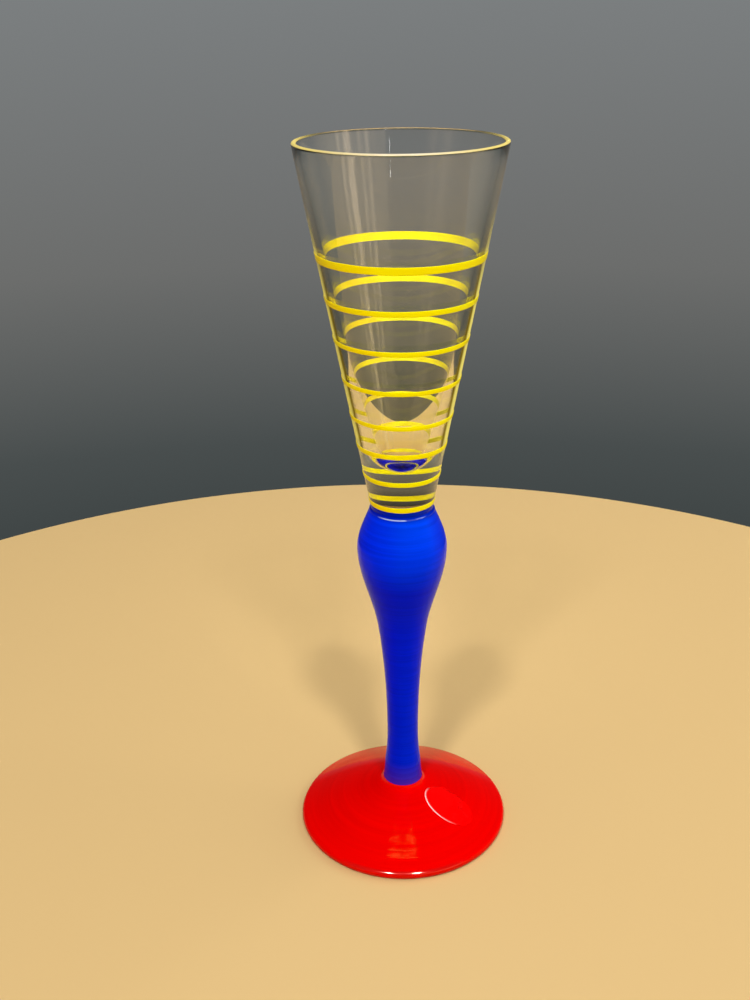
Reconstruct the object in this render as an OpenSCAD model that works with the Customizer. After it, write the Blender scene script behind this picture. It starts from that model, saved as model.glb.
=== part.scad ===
// Schnapps glass on a tall stem: a clear conical bowl with a thick solid bottom, a baluster
// stem under a blue painted coat, a domed foot under a red painted coat, and eight painted
// yellow rings. The origin is the centre of the resting ring, on the table, with +Z up the axis.
// Every piece is turned about that axis, apart from the film label stuck on the foot.

/* [Foot] */
// Diameter of the glass foot, without its paint
foot_d = 57.3; // [48:0.1:70]
// Height of the stem's seat above the table
foot_h = 12.9; // [11:0.1:16]
// Radius of the rounded edge of the foot
foot_edge_r = 1.1; // [0.8:0.05:1.5]
// Slope of the top of the foot beside its edge, in degrees
foot_edge_slope = 28; // [24:1:32]
// Slope of the top of the foot near the stem, in degrees
foot_crown_slope = 15; // [10:1:20]
// Radius of the hollow blend from the foot up to the stem
foot_blend_r = 2; // [1.2:0.1:2.6]
// Height of the hollow under the middle of the foot
foot_hollow_h = 6; // [3:0.1:7]
// Width of the flat ring that the glass stands on
rest_ring_w = 2.4; // [1.5:0.1:4]

/* [Stem] */
// Height of the stem, from its seat on the foot to the neck under the bowl
stem_h = 83.3; // [76:0.1:110]
// Diameter of the stem where it stands on the foot
stem_seat_d = 10.6; // [8:0.1:12]
// Diameter of the low swelling just above the seat
ankle_d = 9.3; // [7.6:0.1:11]
// Height of that swelling above the seat
ankle_up = 6.7; // [5:0.1:8]
// Diameter of the slimmest place of the stem
waist_d = 8.2; // [6.8:0.1:9.2]
// Height of the slimmest place above the seat
waist_up = 15.5; // [13:0.1:20]
// Diameter of the stem where it starts to swell
calf_d = 12.9; // [11:0.1:15]
// Height above the seat where the stem starts to swell
calf_up = 49.4; // [44:0.1:52]
// Diameter of the bulb at its widest
bulb_d = 22.9; // [20:0.1:26]
// Drop from the neck to the widest place of the bulb
bulb_drop = 11.4; // [9:0.1:13]

/* [Bowl] */
// Height of the bowl, from the neck to the lip
bowl_h = 89.3; // [75:0.1:110]
// Diameter of the neck, where the bowl meets the stem
neck_d = 15.7; // [13:0.1:18]
// Outer diameter of the bowl's wall, carried up to the level of the lip
rim_d = 49.2; // [42:0.1:58]
// Thickness of the wall at the lip
rim_wall = 1.25; // [0.9:0.05:1.8]
// Thickness of the wall where it starts to thicken towards the bottom
low_wall = 2.6; // [1.6:0.1:3.4]
// Thickness of the solid glass under the hollow
bowl_floor_t = 11.4; // [8:0.1:18]
// Height above the bottom of the hollow where the wall starts to thicken
hollow_round_h = 29; // [22:0.5:36]
// Thickness of the wall where it turns in to the bottom of the hollow
turn_wall = 4.3; // [3.4:0.1:4.8]
// Height of that turn above the bottom of the hollow
turn_up = 6.9; // [5:0.1:9]

/* [Paint and label] */
// Thickness of the painted coats and rings
paint_t = 0.15; // [0.1:0.01:0.3]
// Drop from the neck to the top edge of the blue coat
blue_drop = 0.6; // [0.3:0.1:1.2]
// Usual width of a painted ring, along the wall of the bowl
ring_w = 1.2; // [0.8:0.1:1.6]
// Length of the oval film label, across the slope of the foot
label_l = 14; // [11:0.1:16]
// Width of the oval film label, down the slope of the foot
label_w = 10; // [6:0.1:11]
// Thickness of the film label
label_t = 0.1; // [0.06:0.01:0.2]
// Distance from the axis to the middle of the film label
label_reach = 15; // [13:0.1:17.5]
// Direction of the film label round the axis, in degrees from +X
label_turn = -33; // [-180:1:180]

/* [Hidden] */
ring_count = 8;
$fn = 96;

// Heights that the pieces share
seat_z = foot_h;
neck_z = seat_z + stem_h;
lip_z = neck_z + bowl_h;
blue_top_z = neck_z - blue_drop;

// Middles of the rings as shares of the bowl's height, from the highest to the lowest
ring_height_shares = [0.722, 0.6075, 0.498, 0.386, 0.2835, 0.195, 0.1075, 0.0255];
// Widths of the rings as shares of the usual width, in the same order
ring_width_shares = [1.6, 1.25, 1, 1, 1, 1.1, 1.05, 1.15];

// A quarter of a turn, in degrees
quarter = 90;
// How far the red coat wraps under the edge of the foot, in degrees below the horizontal
red_wrap = 45;
// Lean of the hollow's wall from straight up where it turns in to the bottom, in degrees
turn_lean = 17;
// Lean of the stem from straight up at its seat, swelling, calf and neck, in degrees
seat_lean = -13;
ankle_lean = -7.9;
calf_lean = 8.7;
neck_lean = -21;
// Numbers of straight lengths in each curve of an outline
foot_steps = 20;
blend_steps = 8;
edge_steps = 8;
stem_steps = 18;
bulb_steps = 24;
floor_steps = 18;

// Curve from station a to station b, each [radius, height, lean from straight up in degrees]
function flow(a, b, steps) =
    let (
        run = norm([b[0] - a[0], b[1] - a[1]]),
        leave = run * [sin(a[2]), cos(a[2])],
        arrive = run * [sin(b[2]), cos(b[2])]
    )
    [for (i = [0 : steps])
        let (t = i / steps)
        (2 * t ^ 3 - 3 * t ^ 2 + 1) * [a[0], a[1]] + (t ^ 3 - 2 * t ^ 2 + t) * leave
            + (3 * t ^ 2 - 2 * t ^ 3) * [b[0], b[1]] + (t ^ 3 - t ^ 2) * arrive];

// Arc about a centre, in degrees from the outward direction
function arc(centre, r, start, finish, steps) =
    [for (i = [0 : steps])
        let (turn = start + (finish - start) * i / steps)
        centre + r * [cos(turn), sin(turn)]];

// The list without its first point, for joining two curves that meet
function after_first(line) = [for (i = [1 : len(line) - 1]) line[i]];

// The list from its last point back to its first
function backwards(line) = [for (i = [len(line) - 1 : -1 : 0]) line[i]];

// Outer radius of the bare bowl at a height, and how far its wall leans out from straight up
bowl_flare = (rim_d - neck_d) / 2 / bowl_h;
wall_lean = atan(bowl_flare);
function bowl_r(z) = neck_d / 2 + (z - neck_z) * bowl_flare;

// The foot's outline from under its edge up to the stem's seat, raised by a coat
edge_middle = [foot_d / 2 - foot_edge_r, foot_edge_r];
blend_middle = [stem_seat_d / 2 + foot_blend_r, seat_z];
edge_end_turn = quarter - foot_edge_slope;
blend_start_turn = 3 * quarter - foot_crown_slope;

function dome_line(coat) =
    let (
        edge_end = edge_middle + (foot_edge_r + coat) * [cos(edge_end_turn), sin(edge_end_turn)],
        crown = blend_middle + (foot_blend_r - coat) * [cos(blend_start_turn), sin(blend_start_turn)]
    )
    flow(
        [edge_end[0], edge_end[1], foot_edge_slope - quarter],
        [crown[0], crown[1], foot_crown_slope - quarter],
        foot_steps);

function foot_line(coat) = concat(
    arc(edge_middle, foot_edge_r + coat, -red_wrap, edge_end_turn, edge_steps),
    after_first(dome_line(coat)),
    after_first(arc(blend_middle, foot_blend_r - coat, blend_start_turn, 2 * quarter, blend_steps)));

// The stem's outline from its seat to the neck, widened by a coat
function stem_line(coat) =
    let (
        seat = [stem_seat_d / 2 + coat, seat_z, seat_lean],
        ankle = [ankle_d / 2 + coat, seat_z + ankle_up, ankle_lean],
        waist = [waist_d / 2 + coat, seat_z + waist_up, 0],
        calf = [calf_d / 2 + coat, seat_z + calf_up, calf_lean],
        bulb = [bulb_d / 2 + coat, neck_z - bulb_drop, 0],
        neck = [neck_d / 2 + coat, neck_z, neck_lean]
    )
    concat(
        flow(seat, ankle, blend_steps),
        after_first(flow(ankle, waist, stem_steps)),
        after_first(flow(waist, calf, stem_steps)),
        after_first(flow(calf, bulb, bulb_steps)),
        after_first(flow(bulb, neck, bulb_steps)));

// Radius of the bare stem at a height
function stem_r(z) = lookup(z, [for (p = stem_line(0)) [p[1], p[0]]]);

// The blue coat stops just under the neck
function blue_line(coat) = concat(
    [for (p = stem_line(coat)) if (p[1] < blue_top_z) p],
    [[stem_r(blue_top_z) + coat, blue_top_z]]);

// The round lip meets the outer wall smoothly
lip_r = rim_wall / 2;
lip_middle = [bowl_r(lip_z - lip_r) - lip_r / cos(wall_lean), lip_z - lip_r];

// The hollow of the bowl: a straight wall from the lip down, a stretch where the wall thickens,
// and a bottom that closes in to the axis
hollow_z = neck_z + bowl_floor_t;
hollow_round_z = hollow_z + hollow_round_h;
hollow_low_r = bowl_r(hollow_round_z) - low_wall;
inner_run = lip_middle - [hollow_low_r, hollow_round_z];
inner_lean = atan(inner_run[0] / inner_run[1]) - asin(lip_r / norm(inner_run));
turn_z = hollow_z + turn_up;

module turned(outline) {
    rotate_extrude()
        polygon(outline);
}

// A painted coat between two outlines that share their ends
module coat_between(inner, outer) {
    turned(concat(outer, backwards(inner)));
}

module bowl() {
    lip = arc(lip_middle, lip_r, -wall_lean, 2 * quarter - inner_lean, edge_steps);
    low = [hollow_low_r, hollow_round_z, 2 * quarter + inner_lean];
    bend = [bowl_r(turn_z) - turn_wall, turn_z, 2 * quarter + turn_lean];
    bottom = concat(flow(low, bend, floor_steps), after_first(flow(bend, [0, hollow_z, 3 * quarter], floor_steps)));
    color("lightcyan", 0.4)
        turned(concat([[0, neck_z], [neck_d / 2, neck_z]], lip, bottom));
}

module stem() {
    color("lightcyan", 0.4)
        turned(concat([[0, seat_z]], stem_line(0), [[0, neck_z]]));
}

module foot() {
    rest_out = foot_d / 2 - foot_edge_r;
    rest_in = rest_out - rest_ring_w;
    under = [for (i = [0 : foot_steps])
        let (t = i / foot_steps)
        [rest_in * t, foot_hollow_h * (1 - t ^ 2)]];
    low_edge = arc(edge_middle, foot_edge_r, -quarter, -red_wrap, edge_steps);
    color("lightcyan", 0.4)
        turned(concat(under, low_edge, after_first(foot_line(0)), [[0, seat_z]]));
}

module stem_enamel() {
    color("blue")
        coat_between(blue_line(0), blue_line(paint_t));
}

module foot_enamel() {
    color("red")
        coat_between(foot_line(0), foot_line(paint_t));
}

// Ring k, counted down from the highest
module ring(k) {
    middle_z = neck_z + bowl_h * ring_height_shares[k - 1];
    half_z = ring_w * ring_width_shares[k - 1] / 2 * cos(wall_lean);
    low_z = middle_z - half_z;
    high_z = middle_z + half_z;
    color("yellow")
        turned([
            [bowl_r(low_z), low_z],
            [bowl_r(low_z) + paint_t, low_z],
            [bowl_r(high_z) + paint_t, high_z],
            [bowl_r(high_z), high_z]]);
}

module foot_label() {
    reach = label_reach * [cos(label_turn), sin(label_turn)];
    color("gainsboro")
        intersection() {
            coat_between(dome_line(paint_t), dome_line(paint_t + label_t));
            translate([reach[0], reach[1], 0])
                rotate(label_turn + quarter)
                linear_extrude(seat_z)
                oval(label_l, label_w);
        }
}

// Oval of a length along X and a width along Y, with round ends
module oval(length, width) {
    end = (length - width) / 2;
    square([2 * end, width], center = true);
    translate([end, 0])
        circle(d = width);
    translate([-end, 0])
        circle(d = width);
}

bowl();
stem();
foot();
stem_enamel();
foot_enamel();
ring(1);  // ring_1
ring(2);  // ring_2
ring(3);  // ring_3
ring(4);  // ring_4
ring(5);  // ring_5
ring(6);  // ring_6
ring(7);  // ring_7
ring(8);  // ring_8
foot_label();
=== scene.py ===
import bisect
import math

import bpy
import bmesh
from mathutils import Matrix, Vector, noise


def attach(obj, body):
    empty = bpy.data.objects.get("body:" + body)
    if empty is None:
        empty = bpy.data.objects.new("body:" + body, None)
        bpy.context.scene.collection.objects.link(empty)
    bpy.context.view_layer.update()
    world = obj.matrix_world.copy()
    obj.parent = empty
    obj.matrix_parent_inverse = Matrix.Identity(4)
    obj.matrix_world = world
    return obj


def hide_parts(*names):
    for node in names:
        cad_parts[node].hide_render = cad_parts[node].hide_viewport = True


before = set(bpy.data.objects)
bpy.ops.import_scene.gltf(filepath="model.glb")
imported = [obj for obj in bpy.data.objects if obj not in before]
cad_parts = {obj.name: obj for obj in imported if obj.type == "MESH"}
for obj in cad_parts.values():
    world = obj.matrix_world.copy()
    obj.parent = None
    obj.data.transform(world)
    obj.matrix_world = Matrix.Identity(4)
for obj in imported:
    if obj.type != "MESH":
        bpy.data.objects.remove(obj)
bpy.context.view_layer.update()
mm = 0.001
print("frame loaded:", len(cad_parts), "nodes")


# outlines: [radius, height] in mm, turned round the axis

glassSizes = {
    "footD": 57.3,
    "footH": 12.9,
    "footEdgeR": 1.1,
    "footEdgeSlope": 28,
    "footCrownSlope": 15,
    "footBlendR": 2,
    "footHollowH": 6,
    "restRingW": 2.4,
    "coatStart": -45,  # degrees from level on the foot's edge
    "stemH": 83.3,
    "seatD": 10.6,
    "stations": [
        # diameter, height over the foot, lean from straight up
        (10.6, 0, -13),
        (9.3, 6.7, -7.9),
        (8.2, 15.5, 0),
        (12.9, 49.4, 8.7),
        (22.9, 71.9, 0),
        (15.7, 83.3, -21),
    ],
    "bowlH": 89.3,
    "neckD": 15.7,
    "rimD": 49.2,
    "rimWall": 1.25,
    "lowWall": 2.6,
    "floorT": 11.4,
    "hollowRoundH": 29,
    "turnUp": 6.9,
    "turnWall": 4.3,
    "turnLean": 17,
}
# points along each stretch of the outlines, and round the axis
glassSteps = {
    "under": 20,
    "lowEdge": 6,
    "edge": 14,
    "foot": 40,
    "stem": 24,
    "cone": 24,
    "lip": 24,
    "wall": 16,
    "bend": 30,
    "turn": 192,
}
seatZ = glassSizes["footH"]
neckZ = seatZ + glassSizes["stemH"]
lipZ = neckZ + glassSizes["bowlH"]
lipDrop = 0.015  # keeps the lip inside the solid's own facets
flare = (glassSizes["rimD"] - glassSizes["neckD"]) / 2 / glassSizes["bowlH"]
wallLean = math.atan(flare)
coatSink = 0.03  # how far a coat's inner face lies in the glass
sharpEdge = math.radians(50)
mergeWithin = 0.0005


# smooth curve between two points that each have a lean in degrees
def flow(start, end, steps):
    run = math.hypot(end[0] - start[0], end[1] - start[1])
    pulls = []
    for point in (start, end):
        lean = math.radians(point[2])
        pulls.append((run * math.sin(lean), run * math.cos(lean)))
    points = []
    for i in range(steps + 1):
        t = i / steps
        h0 = 2 * t**3 - 3 * t**2 + 1
        h1 = t**3 - 2 * t**2 + t
        h2 = 3 * t**2 - 2 * t**3
        h3 = t**3 - t**2
        points.append([h0 * start[k] + h1 * pulls[0][k] + h2 * end[k] + h3 * pulls[1][k] for k in (0, 1)])
    return points


def arc(middle, radius, first, last, steps):
    points = []
    for i in range(steps + 1):
        angle = math.radians(first + (last - first) * i / steps)
        points.append([middle[0] + radius * math.cos(angle), middle[1] + radius * math.sin(angle)])
    return points


def bowlRadius(z):
    return glassSizes["neckD"] / 2 + (z - neckZ) * flare


def footLine(coat, steps=glassSteps["foot"]):
    s = glassSizes
    edgeMiddle = (s["footD"] / 2 - s["footEdgeR"], s["footEdgeR"])
    blendMiddle = (s["seatD"] / 2 + s["footBlendR"], seatZ)
    edgeEnd = 90 - s["footEdgeSlope"]
    blendStart = 270 - s["footCrownSlope"]
    edge = arc(edgeMiddle, s["footEdgeR"] + coat, s["coatStart"], edgeEnd, glassSteps["edge"])
    blend = arc(blendMiddle, s["footBlendR"] - coat, blendStart, 180, glassSteps["edge"])
    start = (*edge[-1], s["footEdgeSlope"] - 90)
    end = (*blend[0], s["footCrownSlope"] - 90)
    return edge + flow(start, end, steps)[1:] + blend[1:]


def stemLine(coat):
    stations = [(d / 2 + coat, seatZ + z, lean) for d, z, lean in glassSizes["stations"]]
    points = [list(stations[0][:2])]
    for start, end in zip(stations, stations[1:]):
        points += flow(start, end, glassSteps["stem"])[1:]
    return points


# the same line with its points about pitch apart
def resample(points, pitch):
    lengths = [0]
    for a, b in zip(points, points[1:]):
        lengths.append(lengths[-1] + math.dist(a, b))
    count = max(2, round(lengths[-1] / pitch))
    result = []
    k = 0
    for i in range(count + 1):
        goal = lengths[-1] * i / count
        while k < len(points) - 2 and lengths[k + 1] < goal:
            k += 1
        t = (goal - lengths[k]) / (lengths[k + 1] - lengths[k])
        result.append([points[k][j] + (points[k + 1][j] - points[k][j]) * t for j in (0, 1)])
    return result


def spin(bm, line, steps):
    bmesh.ops.spin(bm, geom=line, cent=(0, 0, 0), axis=(0, 0, 1), angle=2 * math.pi,
                   steps=steps, use_merge=True, use_duplicate=False)


# smooth faces, with the sharp edges kept
def smoothFaces(bm):
    for face in bm.faces:
        face.smooth = True
    for edge in bm.edges:
        edge.smooth = edge.calc_face_angle(0) < sharpEdge


def finished(name, bm):
    mesh = bpy.data.meshes.new(name)
    bm.to_mesh(mesh)
    bm.free()
    piece = bpy.data.objects.new(name, mesh)
    bpy.context.scene.collection.objects.link(piece)
    return piece


# turns an outline round the axis into a closed shell
def turned(name, outline, closed, steps):
    bm = bmesh.new()
    corners = [bm.verts.new((r * mm, 0, z * mm)) for r, z in outline]
    edges = [bm.edges.new(pair) for pair in zip(corners, corners[1:])]
    if closed:
        edges.append(bm.edges.new((corners[-1], corners[0])))
    spin(bm, corners + edges, steps)
    bmesh.ops.remove_doubles(bm, verts=bm.verts, dist=mergeWithin * mm)
    bmesh.ops.recalc_face_normals(bm, faces=bm.faces)
    smoothFaces(bm)
    return finished(name, bm)


# smooth noise round the axis, without a seam
def around(x, y, place, turns):
    length = math.hypot(x, y) or 1
    return noise.noise(Vector((turns * x / length, turns * y / length, place)))


# the same at a size
def wave(x, y, size, place, turns):
    return size * around(x, y, place, turns)


brushLines = {
    "turns": 0.7,
    "fineTurns": 0.9,
    "fineShare": 0.5,
    "finePitch": 0.42,
    "finePlace": 31,
    "most": 0.75,
}


# height of a turned brush line, about -1 to 1
def brushed(along, x, y, pitch):
    b = brushLines
    wide = around(x, y, along / pitch, b["turns"])
    fine = around(x, y, b["finePlace"] + along / pitch / b["finePitch"], b["fineTurns"])
    return (wide + b["fineShare"] * fine) / b["most"]


# materials

white = (1.0, 1.0, 1.0)
noiseSpread = (0.3, 0.7)  # most of a noise texture's values lie between these
brushNoise = {"wide": (3, 4), "fine": (2, 9)}  # detail and offset
bumpDepth = 0.02


# a material with the constant values of its shader
def newMaterial(name, values):
    material = bpy.data.materials.new(name)
    material.use_nodes = True
    tree = material.node_tree
    shader = tree.nodes["Principled BSDF"]
    for slot, value in values.items():
        shader.inputs[slot].default_value = value
    return material, tree, shader


def addNode(tree, kind, **values):
    node = tree.nodes.new("ShaderNode" + kind)
    for key, value in values.items():
        if key in node.inputs:
            node.inputs[key].default_value = value
        else:
            setattr(node, key, value)
    return node


# colour ramp from (position, colour) pairs
def stops(tree, source, colours):
    node = addNode(tree, "ValToRGB")
    elements = node.color_ramp.elements
    while len(elements) < len(colours):
        elements.new(0.5)
    for element, (position, colour) in zip(elements, colours):
        element.position = position
        element.color = (*colour, 1)
    tree.links.new(source, node.inputs[0])
    return node.outputs[0]


def ramp(tree, source, low, high, first, last):
    return stops(tree, source, [(low, first), (high, last)])


# the same for shares in place of colours
def shareStops(tree, source, shares):
    return stops(tree, source, [(position, (share, share, share)) for position, share in shares])


# value remapped from one range to another
def remap(tree, source, low, high, first=0.0, last=1.0):
    node = addNode(tree, "MapRange")
    node.inputs["From Min"].default_value = low
    node.inputs["From Max"].default_value = high
    node.inputs["To Min"].default_value = first
    node.inputs["To Max"].default_value = last
    tree.links.new(source, node.inputs["Value"])
    return node.outputs[0]


def combine(tree, kind, a, b):
    node = addNode(tree, "Math", operation=kind)
    tree.links.new(a, node.inputs[0])
    if isinstance(b, float):
        node.inputs[1].default_value = b
    else:
        tree.links.new(b, node.inputs[1])
    return node.outputs[0]


def times(tree, a, b):
    return combine(tree, "MULTIPLY", a, b)


# share between two heights in mm, fading to 0 outside them
def band(tree, height, low, lowFull, highFull, high, share):
    rise = remap(tree, height, low * mm, lowFull * mm)
    fall = remap(tree, height, highFull * mm, high * mm, share, 0.0)
    return times(tree, rise, fall)


# two colours mixed by a share, or multiplied
def blended(tree, share, first, second, kind="MIX"):
    node = addNode(tree, "Mix", data_type="RGBA", blend_type=kind)
    for slot, value in ((0, share), (6, first), (7, second)):
        if isinstance(value, (float, tuple)):
            node.inputs[slot].default_value = (*value, 1) if isinstance(value, tuple) else value
        else:
            tree.links.new(value, node.inputs[slot])
    return node.outputs[2]


def mixed(tree, share, first, second):
    node = addNode(tree, "MixShader")
    for slot, source in enumerate((share, first, second)):
        tree.links.new(source, node.inputs[slot])
    return node.outputs[0]


def axisOf(tree, vector, axis):
    split = addNode(tree, "SeparateXYZ")
    tree.links.new(vector, split.inputs[0])
    return split.outputs[axis]


# x, y, height over the table, distance from the axis, or the share of x (side)
# or y (depth) in the direction from the axis
def placeOf(tree, which):
    place = addNode(tree, "TexCoord").outputs["Object"]
    if which in ("x", "y", "height"):
        return axisOf(tree, place, {"x": "X", "y": "Y", "height": "Z"}[which])
    flat = addNode(tree, "VectorMath", operation="MULTIPLY")
    flat.inputs[1].default_value = (1, 1, 0)
    tree.links.new(place, flat.inputs[0])
    kind = "LENGTH" if which == "radius" else "NORMALIZE"
    measured = addNode(tree, "VectorMath", operation=kind)
    tree.links.new(flat.outputs[0], measured.inputs[0])
    if which == "radius":
        return measured.outputs["Value"]
    return axisOf(tree, measured.outputs[0], {"side": "X", "depth": "Y"}[which])


def noiseOf(tree, vector, scale, detail):
    texture = addNode(tree, "TexNoise", Scale=scale, Detail=detail)
    tree.links.new(vector, texture.inputs["Vector"])
    return texture.outputs[0]


# noise that runs in lines round the axis: along is height or radius
def turnedNoise(tree, along, perMetre, across, detail, offset):
    scaled = addNode(tree, "Math", operation="MULTIPLY_ADD")
    scaled.inputs[1].default_value = perMetre
    scaled.inputs[2].default_value = offset
    tree.links.new(placeOf(tree, along), scaled.inputs[0])
    joined = addNode(tree, "CombineXYZ")
    tree.links.new(scaled.outputs[0], joined.inputs["Z"])
    for axis, which in (("X", "x"), ("Y", "y")):
        tree.links.new(times(tree, placeOf(tree, which), across), joined.inputs[axis])
    return noiseOf(tree, joined.outputs[0], 1.0, detail)


# brushed-on glossy paint, with painted light and shade in its colour
def enamel(name, look, along):
    material, tree, shader = newMaterial(name, {
        "Specular Tint": (*look["glossTint"], 1),
        "Specular IOR Level": look["gloss"],
        "IOR": look["ior"],
    })
    wide = turnedNoise(tree, along, look["wideLines"], look["across"], *brushNoise["wide"])
    fine = turnedNoise(tree, along, look["fineLines"], look["across"], *brushNoise["fine"])
    load = ramp(tree, wide, *noiseSpread, look["deep"], look["light"])
    # painted light and shade, by height or side
    which, low, high, paintedLightTones = look["paintedLightTones"]
    tone = stops(tree, remap(tree, placeOf(tree, which), low, high), paintedLightTones)
    colour = blended(tree, 1.0, load, tone, "MULTIPLY")
    # painted reflection and shade by side
    if "sideLightAndShade" in look:
        sideShading = stops(tree, remap(tree, placeOf(tree, "side"), -1.0, 1.0), look["sideLightAndShade"])
        colour = blended(tree, 1.0, colour, sideShading, "MULTIPLY")
    # painted highlight along the bead
    if "beadHighlight" in look:
        line = look["beadHighlight"]
        lined = band(tree, placeOf(tree, "height"), *line["heights"], line["share"])
        gaps = turnedNoise(tree, "height", line["lines"], line["across"], *line["noise"])
        sideways = combine(tree, "ABSOLUTE", placeOf(tree, "side"), 0.0)
        broken = times(tree, remap(tree, gaps, *line["gaps"]), remap(tree, sideways, *line["sides"]))
        colour = blended(tree, times(tree, lined, broken), colour, line["colour"])
    tree.links.new(colour, shader.inputs["Base Color"])
    tree.links.new(remap(tree, fine, *noiseSpread, *look["rough"]), shader.inputs["Roughness"])
    bump = addNode(tree, "Bump", Strength=look["bump"], Distance=bumpDepth * mm)
    tree.links.new(fine, bump.inputs["Height"])
    if "frontBump" in look:
        strength = remap(tree, placeOf(tree, "depth"), *look["front"], look["bump"], look["frontBump"])
        tree.links.new(strength, bump.inputs["Strength"])
    tree.links.new(bump.outputs[0], shader.inputs["Normal"])
    if "gleam" in look:
        gleam = look["gleam"]
        share = band(tree, placeOf(tree, "height"), *gleam["heights"], gleam["share"])
        share = times(tree, share, remap(tree, placeOf(tree, "depth"), *gleam["front"]))
        polished = addNode(tree, "BsdfGlossy", Roughness=gleam["rough"], Color=(*gleam["colour"], 1))
        result = mixed(tree, share, shader.outputs[0], polished.outputs[0])
        tree.links.new(result, tree.nodes["Material Output"].inputs["Surface"])
    return material


# the side of a coat that lies on the glass, seen through it, painted lighter than the outer paint to make
# up for the light the glass keeps from it
def undercoat(name, look):
    material, tree, shader = newMaterial(name, {
        "Specular IOR Level": look["gloss"],
        "IOR": look["ior"],
        "Roughness": look["rough"],
    })
    wide = turnedNoise(tree, "height", look["wideLines"], look["across"], *look["noise"])
    load = ramp(tree, wide, *noiseSpread, look["deep"], look["light"])
    tree.links.new(load, shader.inputs["Base Color"])
    return material


# clear glass: bowl, stem and foot are one blown piece

def glassOutline():
    s = glassSizes
    steps = glassSteps
    restOut = s["footD"] / 2 - s["footEdgeR"]
    restIn = restOut - s["restRingW"]
    n = steps["under"]
    under = [[restIn * i / n, s["footHollowH"] * (1 - (i / n) ** 2)] for i in range(n + 1)]
    lowEdge = arc((restOut, s["footEdgeR"]), s["footEdgeR"], -90, s["coatStart"], steps["lowEdge"])
    n = steps["cone"]
    heights = [neckZ + s["bowlH"] * i / n for i in range(1, n)]
    cone = [[bowlRadius(z), z] for z in heights]
    lipR = s["rimWall"] / 2
    lipMiddle = (bowlRadius(lipZ - lipR) - lipR / math.cos(wallLean), lipZ - lipR - lipDrop)
    hollowZ = neckZ + s["floorT"]
    roundZ = hollowZ + s["hollowRoundH"]
    lowR = bowlRadius(roundZ) - s["lowWall"]
    run = (lipMiddle[0] - lowR, lipMiddle[1] - roundZ)
    innerLean = math.degrees(math.atan(run[0] / run[1]) - math.asin(lipR / math.hypot(*run)))
    lip = arc(lipMiddle, lipR, -math.degrees(wallLean), 180 - innerLean, steps["lip"])
    low = (lowR, roundZ, 180 + innerLean)
    wall = flow((*lip[-1], 180 + innerLean), low, steps["wall"])
    turnZ = hollowZ + s["turnUp"]
    bend = (bowlRadius(turnZ) - s["turnWall"], turnZ, 180 + s["turnLean"])
    bottom = flow(low, bend, steps["bend"]) + flow(bend, (0, hollowZ, 270), steps["bend"])[1:]
    return under + lowEdge + footLine(0)[1:] + stemLine(0)[1:] + cone + lip + wall[1:] + bottom[1:]


# heights are in mm, and four of them are low, lowFull, highFull and high of a band
glassLook = {
    "ior": 1.5,
    "shade": (0.985, 0.985, 0.975),
    "shadeNoise": (40.0, 2.0),
    # height and colour, painted light and shade: the rings' yellow light painted along the wall between
    # them, and painted shade, dark olive, low on the bowl and in the stem
    "ringLightAndShade": [(90, (0.4, 0.32, 0.16)), (99.6, (0.4, 0.32, 0.16)), (100.8, (0.76, 0.63, 0.4)),
              (106.5, (0.76, 0.63, 0.4)), (109, (0.92, 0.86, 0.64)), (112, (1.0, 0.99, 0.84)),
              (150, (0.99, 0.97, 0.87)), (172, (0.98, 0.98, 0.96)), (190, (0.98, 0.98, 0.96))],
    # dimmed gloss low on the bowl, as shares of the way between two heights
    "glossHeights": (100, 120),
    "gloss": [(0.5, (0.25, 0.3, 0.6)), (0.9, white)],
    "outerSkin": (-0.5, -0.3),  # from the wall's outer line
    # painted reflection: colour of faint upright lines at the back of the wall
    "reflectionStreaks": (0.9, 0.74, 0.56),
    "streakShare": 0.24,
    "streakReach": 0.7,
    # where they stand, as shares of the way over their reach from -X to +X
    "streakLines": [(0.03, 0), (0.05, 0.7), (0.07, 0.15), (0.093, 0.9), (0.121, 0.9), (0.143, 0.15),
                    (0.18, 0.1), (0.207, 0.5), (0.225, 0.1), (0.257, 0.6), (0.279, 0.1), (0.357, 0.12),
                    (0.45, 0), (0.68, 0), (0.736, 0.2), (0.786, 0.05), (0.857, 0.25), (0.9, 0.08),
                    (0.943, 0)],
    "streakBack": (0.1, 0.4),
    "streakScale": (16.0, 16.0, 22.0),
    "streakBreaks": (0.3, 0.6, 0.35),
    "veil": (0.84, 0.72, 0.44),
    "veilShare": 0.17,
    "veilFacing": (0.4, 0.85),
    "veilHeights": (97, 99, 178, 186),
    # painted light: the rings' yellow light carried along the wall, by facing
    "ringGlowColours": [(0.74, (0.2, 0.15, 0.0)), (0.82, (0.95, 0.9, 0.24)), (1.0, (0.95, 0.9, 0.24))],
    "edgeShare": 0.92,
    "edgeFacing": (0.62, 0.72),
    "edgeHeights": (110, 116, 150, 172),
    "thickHeights": (118, 150),
    "thickShare": 0.1,
    # painted light of the rings in the lip, from its front to its sides
    "lip": [(0.15, (1.0, 0.88, 0.64)), (0.8, (1.0, 0.8, 0.24))],
    "lipShare": 0.8,
    "lipBackShare": 0.05,
    "lipDepth": (0.05, 0.6),
    "lipHeights": (185.08, 185.24, 190, 191),
    "shadow": ((0.98, 0.98, 0.97), (0.74, 0.73, 0.7)),
    "shadowFacing": (0.3, 1.0),
    "shadowBlend": 0.35,
}


# 1 on the outer face of the bowl, 0 on the faces of its hollow
def outerFace(tree, height):
    wallLine = remap(tree, height, neckZ * mm, lipZ * mm, bowlRadius(neckZ) * mm, bowlRadius(lipZ) * mm)
    out = combine(tree, "SUBTRACT", placeOf(tree, "radius"), wallLine)
    low, high = glassLook["outerSkin"]
    return remap(tree, out, low * mm, high * mm)
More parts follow.
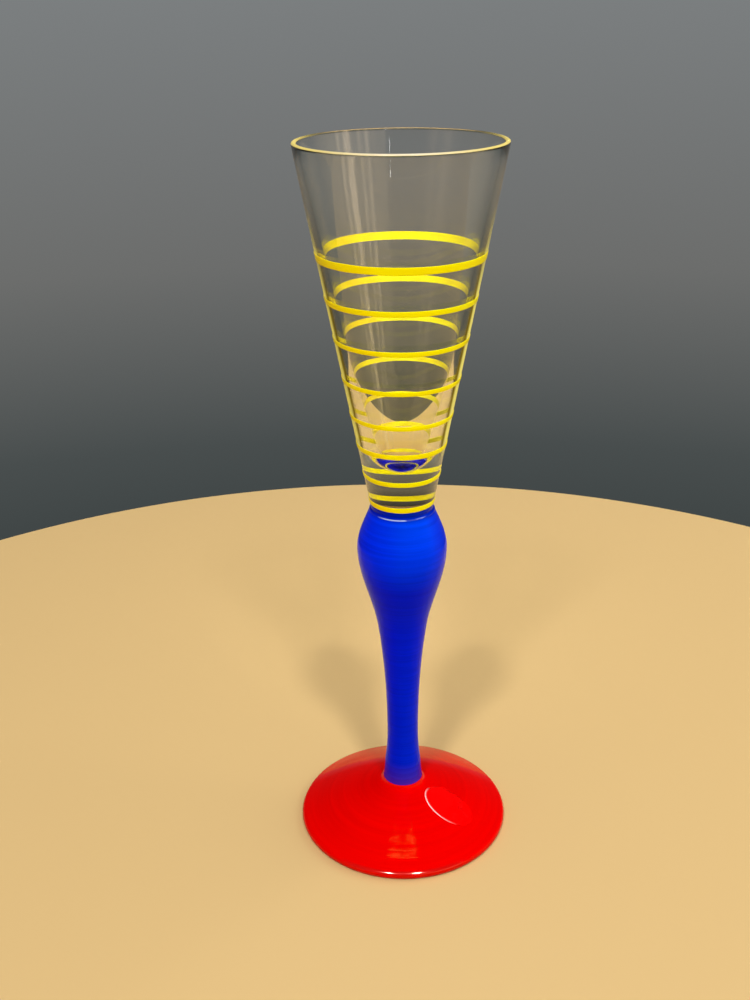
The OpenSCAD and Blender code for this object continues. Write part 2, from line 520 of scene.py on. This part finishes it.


# clear glass that lets the lamps through, with painted reflections in faint upright lines, and the rings'
# light painted along its edges and in its lip
def clearGlass():
    look = glassLook
    constants = {"Roughness": 0.0, "IOR": look["ior"], "Transmission Weight": 1.0}
    material, tree, shader = newMaterial("clearGlass", constants)
    height, side, depth = (placeOf(tree, which) for which in ("height", "side", "depth"))
    outer = outerFace(tree, height)
    facing = addNode(tree, "LayerWeight", Blend=0.5).outputs["Facing"]
    cloud = noiseOf(tree, addNode(tree, "TexCoord").outputs["Object"], *look["shadeNoise"])
    shade = ramp(tree, cloud, *noiseSpread, look["shade"], white)
    # painted ring light and shade, in the glass's colour by height
    low, high = look["ringLightAndShade"][0][0], look["ringLightAndShade"][-1][0]
    ringLightAndShade = [((z - low) / (high - low), colour) for z, colour in look["ringLightAndShade"]]
    tint = stops(tree, remap(tree, height, low * mm, high * mm), ringLightAndShade)
    tree.links.new(blended(tree, 1.0, shade, tint, "MULTIPLY"), shader.inputs["Base Color"])
    low, high = look["glossHeights"]
    gloss = stops(tree, remap(tree, height, low * mm, high * mm), look["gloss"])
    inside = addNode(tree, "NewGeometry").outputs["Backfacing"]
    tree.links.new(blended(tree, inside, gloss, white), shader.inputs["Specular Tint"])

    # painted reflection: pale upright lines at the back of the wall, a diffuse film in place of the
    # room's reflections
    stretched = addNode(tree, "CombineXYZ")
    for axis, source, scale in zip("XYZ", (side, depth, height), look["streakScale"]):
        tree.links.new(times(tree, source, scale), stretched.inputs[axis])
    reflectionStreaks = noiseOf(tree, stretched.outputs[0], 1.0, 3.0)
    reach = look["streakReach"]
    stretch = shareStops(tree, remap(tree, side, -reach, reach), look["streakLines"])
    stretch = times(tree, stretch, remap(tree, depth, *look["streakBack"], 0.0, look["streakShare"]))
    stretch = times(tree, stretch, outer)
    share = times(tree, remap(tree, reflectionStreaks, *look["streakBreaks"]), stretch)
    film = addNode(tree, "BsdfDiffuse", Color=(*look["reflectionStreaks"], 1))
    result = mixed(tree, share, shader.outputs[0], film.outputs[0])

    # a thin veil of the rings' light over the wall's sides
    veilShare = remap(tree, facing, *look["veilFacing"], 0.0, look["veilShare"])
    veilBand = times(tree, band(tree, height, *look["veilHeights"], 1.0), outer)
    veil = addNode(tree, "BsdfDiffuse", Color=(*look["veil"], 1))
    result = mixed(tree, times(tree, veilShare, veilBand), result, veil.outputs[0])

    # painted light: the wall's outer edges are painted in the rings' yellow light, wider where it is
    # thicker
    low, high = look["thickHeights"]
    thick = remap(tree, height, low * mm, high * mm, look["thickShare"], 0.0)
    edgeOn = combine(tree, "ADD", facing, thick)
    edgeBand = times(tree, band(tree, height, *look["edgeHeights"], look["edgeShare"]), outer)
    edgeShare = times(tree, remap(tree, edgeOn, *look["edgeFacing"]), edgeBand)
    edge = addNode(tree, "BsdfDiffuse")
    tree.links.new(stops(tree, edgeOn, look["ringGlowColours"]), edge.inputs["Color"])
    result = mixed(tree, edgeShare, result, edge.outputs[0])

    # and the rings' painted light up in the lip, gold at its sides
    sideways = combine(tree, "ABSOLUTE", side, 0.0)
    lipShare = remap(tree, depth, *look["lipDepth"], look["lipShare"], look["lipBackShare"])
    lipBand = times(tree, band(tree, height, *look["lipHeights"], 1.0), lipShare)
    lip = addNode(tree, "BsdfDiffuse")
    tree.links.new(stops(tree, sideways, look["lip"]), lip.inputs["Color"])
    result = mixed(tree, lipBand, result, lip.outputs[0])

    rays = addNode(tree, "LightPath")
    turnedAway = addNode(tree, "LayerWeight", Blend=look["shadowBlend"]).outputs["Facing"]
    through = addNode(tree, "BsdfTransparent")
    shadow = ramp(tree, turnedAway, *look["shadowFacing"], *look["shadow"])
    tree.links.new(shadow, through.inputs["Color"])
    result = mixed(tree, rays.outputs["Is Shadow Ray"], result, through.outputs[0])
    tree.links.new(result, tree.nodes["Material Output"].inputs["Surface"])
    return material


glass = turned("glass", glassOutline(), False, glassSteps["turn"])
glass.data.materials.append(clearGlass())
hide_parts("bowl", "stem", "foot")
print("glass turned:", len(glass.data.polygons), "faces")


# blue coat on the stem

blueSizes = {
    "coat": 0.15,
    "meshPitch": 0.4,
    "topZ": 96.1,
    # all from the top downwards
    "plainEnd": 1.2,
    "riseH": 1.15,
    "unevenH": 1.1,
    "innerTop": 0.5,
    "riseSteps": 18,
    "edgeH": 0.16,
    "edgeW": 0.42,
    "beadShare": 0.6,
    "edgeWaves": [(0.35, 8, 1.6), (0.25, 2, 5.0)],  # size, place in the noise, turns
    "thinTopZ": 97.72,
    "thin": 0.06,
    "thinPlaces": (0.1, 0.35, 0.6, 0.85, 0.96),
    "thinEnd": 0.4,
    "thinReach": (0.55, 0.45),  # mean, and how far it swings from back to front
    "outerFrom": 0.03,
    "topTilt": 0.3,
    "topTurn": 235,
    "topWave": (0.16, 5, 1.3),
    "tiltReach": (2.5, 0.8),  # under the coat's top and under the thin part's
    "backDrop": 0.7,
    "linePitch": 0.8,
    "lineH": 0.014,
    "lineFade": 0.5,
    "turnSteps": 176,
}
blueLook = {
    "deep": (1.0, 0.75, 0.84),
    "light": (1.0, 1.1, 1.02),
    # painted light and shade by height: violet at the seat, a painted reflection of the red foot in
    # shade; painted shade, deep down the stem; a painted highlight, bright on the bulb; and painted
    # shade, dark above the neck
    "paintedLightTones": ("height", 0.0129, 0.0977, [
        (0.0, (0.07, 0.014, 0.42)),
        (0.03, (0.03, 0.016, 0.54)),
        (0.08, (0.0, 0.014, 0.74)),
        (0.6, (0.0, 0.008, 0.8)),
        (0.74, (0.0, 0.006, 0.74)),
        (0.85, (0.0, 0.034, 0.98)),
        (0.965, (0.0, 0.05, 0.94)),
        (0.982, (0.0, 0.016, 0.46)),
    ]),
    # painted reflection and shade by side: greener a little right of the front, as of a lit window, and
    # less green and darker towards both sides
    "sideLightAndShade": [
        (0.0, (1.0, 0.4, 1.0)),
        (0.3, (1.0, 0.7, 1.0)),
        (0.5, (1.0, 1.0, 1.0)),
        (0.85, (1.0, 1.15, 1.04)),
        (1.0, (1.0, 0.5, 0.84)),
    ],
    # painted highlight: a light line under the coat's top, where its bead catches the lamps, broken, and
    # fading towards both sides
    "beadHighlight": {
        "heights": (95.5, 95.6, 95.84, 95.94),
        "share": 0.9,
        "colour": (0.5, 0.62, 1.0),
        "lines": 700.0,
        "across": 240.0,
        "noise": (2, 7.3),
        "gaps": (0.4, 0.5, 0.1),
        "sides": (0.5, 0.75, 1.0, 0.0),
    },
    "glossTint": (0.05, 0.36, 1.0),
    "gloss": 0.5,
    "ior": 1.16,
    "wideLines": 1500.0,
    "fineLines": 4200.0,
    "across": 45.0,
    "rough": (0.04, 0.1),
    "bump": 0.25,
}
# painted light: a brighter blue than the outer coat, for the face seen through the glass, which gets less
# light
blueUnder = {
    "deep": (0.0, 0.006, 0.9),
    "light": (0.0, 0.012, 1.0),
    "gloss": 0.0,
    "ior": 1.02,
    "rough": 0.6,
    "wideLines": 900.0,
    "across": 45.0,
    "noise": (2, 4),
}


# radius of the bare stem at a height
def coreRadius(z):
    place = bisect.bisect(coreHeights, z)
    if place == 0:
        return stemCore[0][0]
    if place == len(stemCore):
        return bowlRadius(z)
    low, high = stemCore[place - 1], stemCore[place]
    return low[0] + (high[0] - low[0]) * (z - low[1]) / (high[1] - low[1])


# the coat's section, with a bead at its top and a thin part above it
def blueOutline():
    s = blueSizes
    top = s["topZ"]
    plainTop = top - s["plainEnd"]
    line = resample(stemLine(s["coat"]), s["meshPitch"])
    outside = [point for point in line if point[1] < plainTop]
    core = [point for point in stemCore if point[1] < plainTop]
    rise = []
    for i in range(s["riseSteps"] + 1):
        z = top - s["riseH"] + s["riseH"] * (i / s["riseSteps"])
        bead = s["edgeH"] * math.exp(-((z - (top - s["edgeW"])) / (s["beadShare"] * s["edgeW"])) ** 2)
        close = math.sqrt(max(0, 1 - max(0, (z - top + s["edgeW"]) / s["edgeW"]) ** 2))
        rise.append([coreRadius(z) + max((s["coat"] + bead) * close, s["thin"]), z])
    thinRise = s["thinTopZ"] - top
    for share in s["thinPlaces"]:
        rise.append([coreRadius(top + thinRise * share) + s["thin"], top + thinRise * share])
    rise.append([coreRadius(s["thinTopZ"]) + s["thin"] * s["thinEnd"], s["thinTopZ"]])
    inside = [[r - coatSink, z] for r, z in core[::2]]
    inside += [[coreRadius(z) - coatSink, z] for z in (top - s["innerTop"], neckZ, s["thinTopZ"])]
    return outside + rise + inside[::-1]


def blueCoat():
    s = blueSizes
    top = s["topZ"]
    piece = turned("stem_blue", blueOutline(), True, s["turnSteps"])
    for vertex in piece.data.vertices:
        x, y, z = vertex.co / mm
        r = math.hypot(x, y)
        turn = math.atan2(y, x)
        out = r - coreRadius(z)
        if z > top:  # the thin part reaches less far up at the back
            share = s["thinReach"][0] - s["thinReach"][1] * y / math.hypot(x, y)
            newZ = top + (z - top) * share
            r += coreRadius(newZ) - coreRadius(z)
            z = newZ
        elif out > s["outerFrom"]:
            r += s["lineH"] * min(1, (z - seatZ) / s["lineFade"]) * brushed(z, x, y, s["linePitch"])
            if top - s["unevenH"] < z < top:
                r += out * sum(wave(x, y, *values) for values in s["edgeWaves"])
        under, thinUnder = s["tiltReach"]
        nearTop = max(0, min(1, (z - top + under) / under, (s["thinTopZ"] - z) / thinUnder))
        if nearTop:
            lift = s["topTilt"] * math.cos(turn - math.radians(s["topTurn"])) + wave(x, y, *s["topWave"])
            lift -= s["backDrop"] * max(0, math.sin(turn))
            newZ = z + lift * nearTop
            r += coreRadius(newZ) - coreRadius(z)
            z = newZ
        vertex.co = Vector((r * math.cos(turn), r * math.sin(turn), z)) * mm
    return piece


stemCore = stemLine(0)
coreHeights = [point[1] for point in stemCore]
stemBlue = blueCoat()
stemBlue.data.materials.append(enamel("blueEnamel", blueLook, "height"))
stemBlue.data.materials.append(undercoat("blueUnder", blueUnder))
for face in stemBlue.data.polygons:
    middle = face.center / mm
    if math.hypot(middle.x, middle.y) < coreRadius(middle.z) - coatSink * 0.5:
        face.material_index = 1
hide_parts("stem_enamel")
print("blue coat on the stem")


# red coat on the foot

redSizes = {
    "coat": 0.143,
    "linePitch": 0.95,
    "lineH": 0.03,
    "lineStart": 8,
    "lineEnd": 1.4,  # in from the foot's edge
    "lineFade": 1.5,
    "backShare": 0.1,  # the lines are faint at the back
    "meshPitch": 0.16,
    "insideSteps": 24,
    "topStart": 8,  # points of the outline below the foot's top
    "turnSteps": 224,
}
redLook = {
    "deep": (0.83, 1, 1),
    "light": (0.92, 1, 1),
    # painted shade: darker red down the foot's lower edge, where it turns under towards the table
    "paintedLightTones": ("height", 0.0, 0.013, [
        (0.0, (0.62, 0, 0)),
        (0.07, (0.68, 0, 0)),
        (0.16, (1, 0, 0)),
        (1.0, (1, 0, 0)),
    ]),
    "glossTint": (1.0, 0.5, 0.06),
    "gloss": 0.5,
    "ior": 1.29,
    "gleam": {
        "heights": (1.6, 1.8, 2.2, 2.4),
        "share": 0.2,
        "colour": (1.0, 0.66, 0.5),
        "rough": 0.1,
        "front": (-0.8, -0.9),
    },
    "wideLines": 700.0,
    "fineLines": 2000.0,
    "across": 25.0,
    "rough": (0.02, 0.05),
    "bump": 0.1,
    "frontBump": 0.7,
    "front": (-0.6, -0.9),
}


def redCoat():
    s = redSizes
    n = glassSteps["edge"]
    full = footLine(s["coat"])
    outside = full[:n + 1] + resample(full[n:-n], s["meshPitch"])[1:-1] + full[-n - 1:]
    inside = footLine(-coatSink, s["insideSteps"])
    piece = turned("foot_red", outside + inside[::-1], True, s["turnSteps"])
    outerRing = glassSizes["footD"] / 2 - s["lineEnd"]
    for vertex in piece.data.vertices:
        x, y, z = vertex.co / mm
        r = math.hypot(x, y)
        if s["lineStart"] < r < outerRing and z > footHeight(r) + s["coat"] * 0.5:
            fade = min(1, (outerRing - r) / s["lineFade"], (r - s["lineStart"]) / s["lineFade"])
            fade *= s["backShare"] + (1 - s["backShare"]) * max(0, -y / r) ** 3
            z += s["lineH"] * fade * brushed(r, x, y, s["linePitch"])
            vertex.co.z = z * mm
    return piece


# height of the bare foot's top at a radius
def footHeight(r):
    for a, b in zip(footTop, footTop[1:]):
        if b[0] <= r <= a[0]:
            return a[1] + (b[1] - a[1]) * (a[0] - r) / ((a[0] - b[0]) or 1)
    return footTop[0][1] if r > footTop[0][0] else footTop[-1][1]


footTop = footLine(0)[redSizes["topStart"]:]
footRed = redCoat()
footRed.data.materials.append(enamel("redEnamel", redLook, "radius"))
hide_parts("foot_enamel")
print("red coat on the foot")


# yellow rings

ringSizes = {
    "coat": 0.13,
    "turnSteps": 224,
    # half of the section: share of half the width, share of the coat
    "section": [(1, 0.45), (0.93, 0.8), (0.8, 1), (0.3, 1.08)],
    # size, place in the noise for each ring, turns
    "widthWave": (0.07, 4.3, 2.5),
    "heightWave": (0.07, 9.7, 1.2),
    # height, width at the front, width at the back, rise at the back
    "rings": [
        (160.4, 1.85, 1.9, -0.35),
        (150.4, 1.35, 1.6, -0.4),
        (140.65, 1.25, 1.3, -0.15),
        (130.65, 1.2, 1.25, 0),
        (121.5, 1.2, 1.2, 0),
        (113.6, 1.4, 1.3, 0),
        (105.8, 1.3, 1.3, 0),
        (98.4, 1.45, 1.4, 0),
    ],
}
yellowLook = {
    "deep": (0.97, 0.83, 0.0),
    "light": (0.97, 0.91, 0.0),
    # painted shade: more orange towards -X, and a little towards +X, where the rings get less light
    "paintedLightTones": ("side", -1.0, 1.0, [
        (0.02, (0.97, 0.86, 1)),
        (0.28, (1, 0.9, 1)),
        (0.38, (1, 1, 1)),
        (0.9, (1, 1, 1)),
        (1.0, (1, 0.94, 1)),
    ]),
    "glossTint": (1.0, 0.9, 0.1),
    "gloss": 0.3,
    "ior": 1.25,
    "wideLines": 300.0,
    "fineLines": 2600.0,
    "across": 60.0,
    "rough": (0.16, 0.3),
    "bump": 0.3,
}


def ringPiece(number, height, front, back, rise, material):
    s = ringSizes
    half = 0.5 * math.cos(wallLean)
    low = [(-up, s["coat"] * out) for up, out in s["section"]]
    high = [(up, s["coat"] * out) for up, out in s["section"][::-1]]
    shape = [(-1, -coatSink)] + low + high + [(1, -coatSink)]
    outline = [[bowlRadius(height + half * up) + out, height + half * up] for up, out in shape]
    piece = turned("ring_yellow_%d" % number, outline, True, s["turnSteps"])
    widthSize, widthPlace, widthTurns = s["widthWave"]
    heightSize, heightPlace, heightTurns = s["heightWave"]
    for vertex in piece.data.vertices:
        x, y, z = vertex.co / mm
        r = math.hypot(x, y)
        towardsBack = 0.5 + 0.5 * y / r
        width = front + (back - front) * towardsBack
        width *= 1 + wave(x, y, widthSize, widthPlace * number, widthTurns)
        newZ = height + (z - height) * width + rise * towardsBack
        newZ += wave(x, y, heightSize, heightPlace * number, heightTurns)
        newR = r + (newZ - z) * flare
        vertex.co = Vector((x / r * newR, y / r * newR, newZ)) * mm
    piece.data.materials.append(material)
    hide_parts("ring_%d" % number)
    return piece


yellowEnamel = enamel("yellowEnamel", yellowLook, "height")
rings = []
for number, values in enumerate(ringSizes["rings"], 1):
    rings.append(ringPiece(number, *values, yellowEnamel))
print("rings:", len(rings))


# film label on the foot

labelSizes = {
    "length": 14,
    "width": 10,
    "thick": 0.09,
    "gap": 0.02,
    "reach": 15,
    "turn": -33,
    "wave": 0.01,
    "wavesPerMm": 0.6,
    "rings": 14,
    "steps": 84,
    "mergeShare": 0.0001,
}
labelLook = {
    "rough": 0.06,
    "ior": 1.35,
    "film": (0.86, 0.8, 0.8),
    "haze": (0.76, 0.7, 0.7),
    "hazeNoise": (700.0, 3.0),
    "hazeSpread": (0.35, 0.65),
    # painted highlight: pale colour along one stretch of the film's edge
    "rim": (1.0, 0.8, 0.76),
    "rimFrom": 0.97,
    "rimTurn": 215,  # where a painted highlight runs along the film's edge
    "rimSpread": 75,
    "shadow": ((0.94, 0.92, 0.92), white),
}


# how far each point lies on the stretch of the edge that gets the painted highlight
def markRim(bm, turn):
    s = labelSizes
    rimShine = bm.verts.layers.float.new("rimShine")
    middle = turn @ Vector((s["reach"], 0, 0))
    for vertex in bm.verts:
        out = turn.inverted() @ (vertex.co / mm - middle)
        edge = math.hypot(2 * out.x / s["length"], 2 * out.y / s["width"])
        away = math.degrees(math.atan2(vertex.co.y / mm - middle.y, vertex.co.x / mm - middle.x))
        away = abs((away - labelLook["rimTurn"] + 180) % 360 - 180)
        shine = max(0, 1 - (away / labelLook["rimSpread"]) ** 2)
        vertex[rimShine] = (edge > labelLook["rimFrom"]) * shine


# plain oval of clear film that follows the foot
def filmLabel():
    s = labelSizes
    bm = bmesh.new()
    spokes = [bm.verts.new((0.5 * i / s["rings"], 0, 0)) for i in range(s["rings"] + 1)]
    edges = [bm.edges.new(pair) for pair in zip(spokes, spokes[1:])]
    spin(bm, spokes + edges, s["steps"])
    bmesh.ops.remove_doubles(bm, verts=bm.verts, dist=s["mergeShare"])
    bmesh.ops.scale(bm, vec=(s["length"], s["width"], 1), verts=bm.verts)
    turn = Matrix.Rotation(math.radians(s["turn"]), 3, "Z")
    lift = redSizes["coat"] + s["thick"] + s["gap"]
    for vertex in bm.verts:
        place = turn @ Vector((vertex.co.x + s["reach"], vertex.co.y, 0))
        top = footHeight(math.hypot(place.x, place.y))
        height = top + lift + s["wave"] * noise.noise(place * s["wavesPerMm"])
        vertex.co = Vector((place.x, place.y, height)) * mm
    bmesh.ops.recalc_face_normals(bm, faces=bm.faces)
    if sum(face.normal.z for face in bm.faces) < 0:
        bmesh.ops.reverse_faces(bm, faces=bm.faces)
    bmesh.ops.solidify(bm, geom=bm.faces[:], thickness=s["thick"] * mm)
    bmesh.ops.recalc_face_normals(bm, faces=bm.faces)
    smoothFaces(bm)
    markRim(bm, turn)
    return finished("foot_film", bm)


# clear film: the paint under it shows, and the lamps shine through; a painted highlight runs along part
# of its edge
def clearFilm():
    look = labelLook
    constants = {"Roughness": look["rough"], "IOR": look["ior"], "Transmission Weight": 1.0}
    material, tree, shader = newMaterial("clearFilm", constants)
    haze = noiseOf(tree, addNode(tree, "TexCoord").outputs["Object"], *look["hazeNoise"])
    tone = ramp(tree, haze, *look["hazeSpread"], look["haze"], look["film"])
    tree.links.new(tone, shader.inputs["Base Color"])
    shine = addNode(tree, "Attribute", attribute_name="rimShine")
    rim = addNode(tree, "BsdfDiffuse", Color=(*look["rim"], 1))
    edged = mixed(tree, shine.outputs["Fac"], shader.outputs[0], rim.outputs[0])
    through = addNode(tree, "BsdfTransparent")
    tree.links.new(ramp(tree, haze, *noiseSpread, *look["shadow"]), through.inputs["Color"])
    rays = addNode(tree, "LightPath")
    final = mixed(tree, rays.outputs["Is Shadow Ray"], edged, through.outputs[0])
    tree.links.new(final, tree.nodes["Material Output"].inputs["Surface"])
    return material


footFilm = filmLabel()
footFilm.data.materials.append(clearFilm())
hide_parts("foot_label")
print("film label on the foot")

for piece in [glass, stemBlue, footRed, footFilm] + rings:
    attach(piece, "root")


# floor, lamps, world and camera

floorLook = {
    # share of the way over the toned stretch, from the front, and colour: painted light, lighter towards
    # the back, where the lamps light the floor less
    "paintedLightTones": [(0.1, (0.78, 0.533, 0.23)), (0.9, (0.9, 0.62, 0.272))],
    "toned": (-0.25, 0.3),
    "rough": 0.6,
    "gloss": 0.2,
    "radius": 272,
    "middle": (-4, -35),
    "bend": 46,  # degrees from the back over which the edge is round
    "bendEnd": 85,
    "reach": 900,
    "thick": 18,
    "drop": 0.02,
    "steps": 360,
}


def paleFloor():
    s = floorLook
    bm = bmesh.new()
    bmesh.ops.create_cone(bm, cap_ends=True, segments=s["steps"], radius1=1, radius2=1, depth=1)
    for vertex in bm.verts:
        turn = math.atan2(vertex.co.x, vertex.co.y)
        past = max(0, abs(math.degrees(turn)) - s["bend"])
        radius = s["radius"] / math.cos(math.radians(past)) if past < s["bendEnd"] else s["reach"]
        radius = min(radius, s["reach"])
        vertex.co.x = (s["middle"][0] + radius * math.sin(turn)) * mm
        vertex.co.y = (s["middle"][1] + radius * math.cos(turn)) * mm
        vertex.co.z = -s["drop"] * mm if vertex.co.z > 0 else -s["thick"] * mm
    bmesh.ops.recalc_face_normals(bm, faces=bm.faces)
    piece = finished("floor", bm)
    constants = {"Roughness": s["rough"], "Specular IOR Level": s["gloss"]}
    material, tree, shader = newMaterial("paleFloor", constants)
    # painted light: the floor is lighter towards the back
    tone = stops(tree, remap(tree, placeOf(tree, "y"), *s["toned"]), s["paintedLightTones"])
    tree.links.new(tone, shader.inputs["Base Color"])
    piece.data.materials.append(material)


lampTarget = (0, 0, 0.08)
lamps = {
    "lampLeft": {"place": (-0.24, -0.75, 0.97), "size": (0.12, 0.07), "power": 5.0},
    "lampRight": {"place": (0.22, -0.75, 0.97), "size": (0.12, 0.07), "power": 5.0},
    "lampAbove": {"place": (0.0, -0.02, 1.2), "size": (0.36, 0.05), "power": 0.45, "shape": "ELLIPSE"},
    "lampLow": {"place": (0.28, -1.17, 0.42), "size": (0.012, 0.34), "power": 0.14},
    "sideFill": {"place": (1.0, 0.3, 0.7), "size": (1.2, 0.8), "power": 5.8, "glossy": False},
}


def softLamp(name, place, size, power, glossy=True, shape="RECTANGLE"):
    light = bpy.data.lights.new(name, "AREA")
    light.shape = shape
    light.size = size[0]
    light.size_y = size[1]
    light.energy = power
    lamp = bpy.data.objects.new(name, light)
    bpy.context.scene.collection.objects.link(lamp)
    lamp.location = place
    lamp.rotation_euler = (Vector(lampTarget) - Vector(place)).to_track_quat("-Z", "Y").to_euler()
    lamp.visible_transmission = False
    lamp.visible_glossy = glossy


# its ranges are of the ray's own direction, from -1 to 1
roomLook = {
    # share of the height from 25 degrees below the horizon to 37 above, and colour
    "heights": (-0.42, 0.6),
    "wall": [(0, (0.05, 0.06, 0.06)), (0.06, (0.066, 0.076, 0.076)), (0.2, (0.15, 0.153, 0.149)),
             (0.41, (0.2, 0.212, 0.216)), (0.5, (0.06, 0.06, 0.06)), (1, (0.02, 0.02, 0.02))],
    "room": [(0, (0.2, 0.17, 0.12)), (0.41, (0.2, 0.18, 0.14)), (0.6, (0.12, 0.11, 0.1)),
             (1, (0.02, 0.02, 0.02))],
    "wallFrom": (0.25, 0.6),
    # a lit side of the room at the front right, brighter further round
    "window": (0.9, 0.72, 0.45),
    "windowStart": 17,
    "windowShares": [(0.0, 0.0), (0.03, 0.45), (0.45, 0.65), (0.8, 1.0)],
    "windowBack": (0.0, 0.5, 1.0, 0.0),
    "windowTop": (0.36, 0.46, 1.0, 0.0),
    # the fill is stronger from both sides than from above
    "fill": (1.0, 0.97, 0.93),
    "fillReach": (0.35, 0.9),
    "fillStrength": (0.16, 0.5),
}


def surroundings():
    look = roomLook
    world = bpy.data.worlds.new("surroundings")
    bpy.context.scene.world = world
    world.use_nodes = True
    tree = world.node_tree
    direction = addNode(tree, "TexCoord").outputs["Generated"]
    x, y, z = (axisOf(tree, direction, axis) for axis in "XYZ")
    height = remap(tree, z, *look["heights"])
    wall = stops(tree, height, look["wall"])
    room = stops(tree, height, look["room"])
    view = blended(tree, remap(tree, y, *look["wallFrom"]), room, wall)
    towards = addNode(tree, "VectorMath", operation="DOT_PRODUCT")
    start = math.radians(look["windowStart"])
    towards.inputs[1].default_value = (math.cos(start), math.sin(start), 0)
    tree.links.new(direction, towards.inputs[0])
    wide = shareStops(tree, towards.outputs["Value"], look["windowShares"])
    wide = times(tree, wide, remap(tree, y, *look["windowBack"]))
    lowDown = remap(tree, z, *look["windowTop"])
    view = blended(tree, times(tree, wide, lowDown), view, look["window"])
    shown = addNode(tree, "Background")
    tree.links.new(view, shown.inputs["Color"])
    sides = combine(tree, "ABSOLUTE", x, 0.0)
    fill = tree.nodes["Background"]
    fill.inputs["Color"].default_value = (*look["fill"], 1)
    strength = remap(tree, sides, *look["fillReach"], *look["fillStrength"])
    tree.links.new(strength, fill.inputs["Strength"])
    rays = addNode(tree, "LightPath")
    seen = combine(tree, "MAXIMUM", rays.outputs["Is Camera Ray"], rays.outputs["Is Glossy Ray"])
    seen = combine(tree, "MAXIMUM", seen, rays.outputs["Is Transmission Ray"])
    # paint behind the glass gets the same fill as paint in the open
    seen = times(tree, seen, remap(tree, rays.outputs["Diffuse Depth"], 0.0, 1.0, 1.0, 0.0))
    final = mixed(tree, seen, fill.outputs[0], shown.outputs[0])
    tree.links.new(final, tree.nodes["World Output"].inputs["Surface"])


# fitted to the ellipses of the rim, the rings and the foot; angles in radians
cameraFit = {
    "pixels": 1152.26,
    "pictureH": 1000,
    "sensor": 36,
    "pitch": 0.42010,
    "roll": -0.01425,
    "yaw": -0.02552,
    "place": (0, -0.2666, 0.21686),
    "clipStart": 0.01,
}


def photoCamera():
    c = cameraFit
    pitch, roll, yaw = c["pitch"], c["roll"], c["yaw"]
    forward = Vector((math.sin(yaw) * math.cos(pitch), math.cos(yaw) * math.cos(pitch), -math.sin(pitch)))
    level = Vector((math.cos(yaw), -math.sin(yaw), 0))
    upright = level.cross(forward)
    right = math.cos(roll) * level + math.sin(roll) * upright
    up = -math.sin(roll) * level + math.cos(roll) * upright
    view = Matrix((right, up, -forward)).transposed().to_4x4()
    view.translation = Vector(c["place"])
    camera = bpy.data.objects.new("camera", bpy.data.cameras.new("camera"))
    bpy.context.scene.collection.objects.link(camera)
    camera.matrix_world = view
    camera.data.sensor_width = c["sensor"]
    camera.data.lens = c["pixels"] * c["sensor"] / c["pictureH"]
    camera.data.clip_start = c["clipStart"]
    bpy.context.scene.camera = camera


paleFloor()
for name, values in lamps.items():
    softLamp(name, **values)
surroundings()
photoCamera()
bpy.context.scene.view_settings.view_transform = "Standard"
print("floor, lamps and camera set")
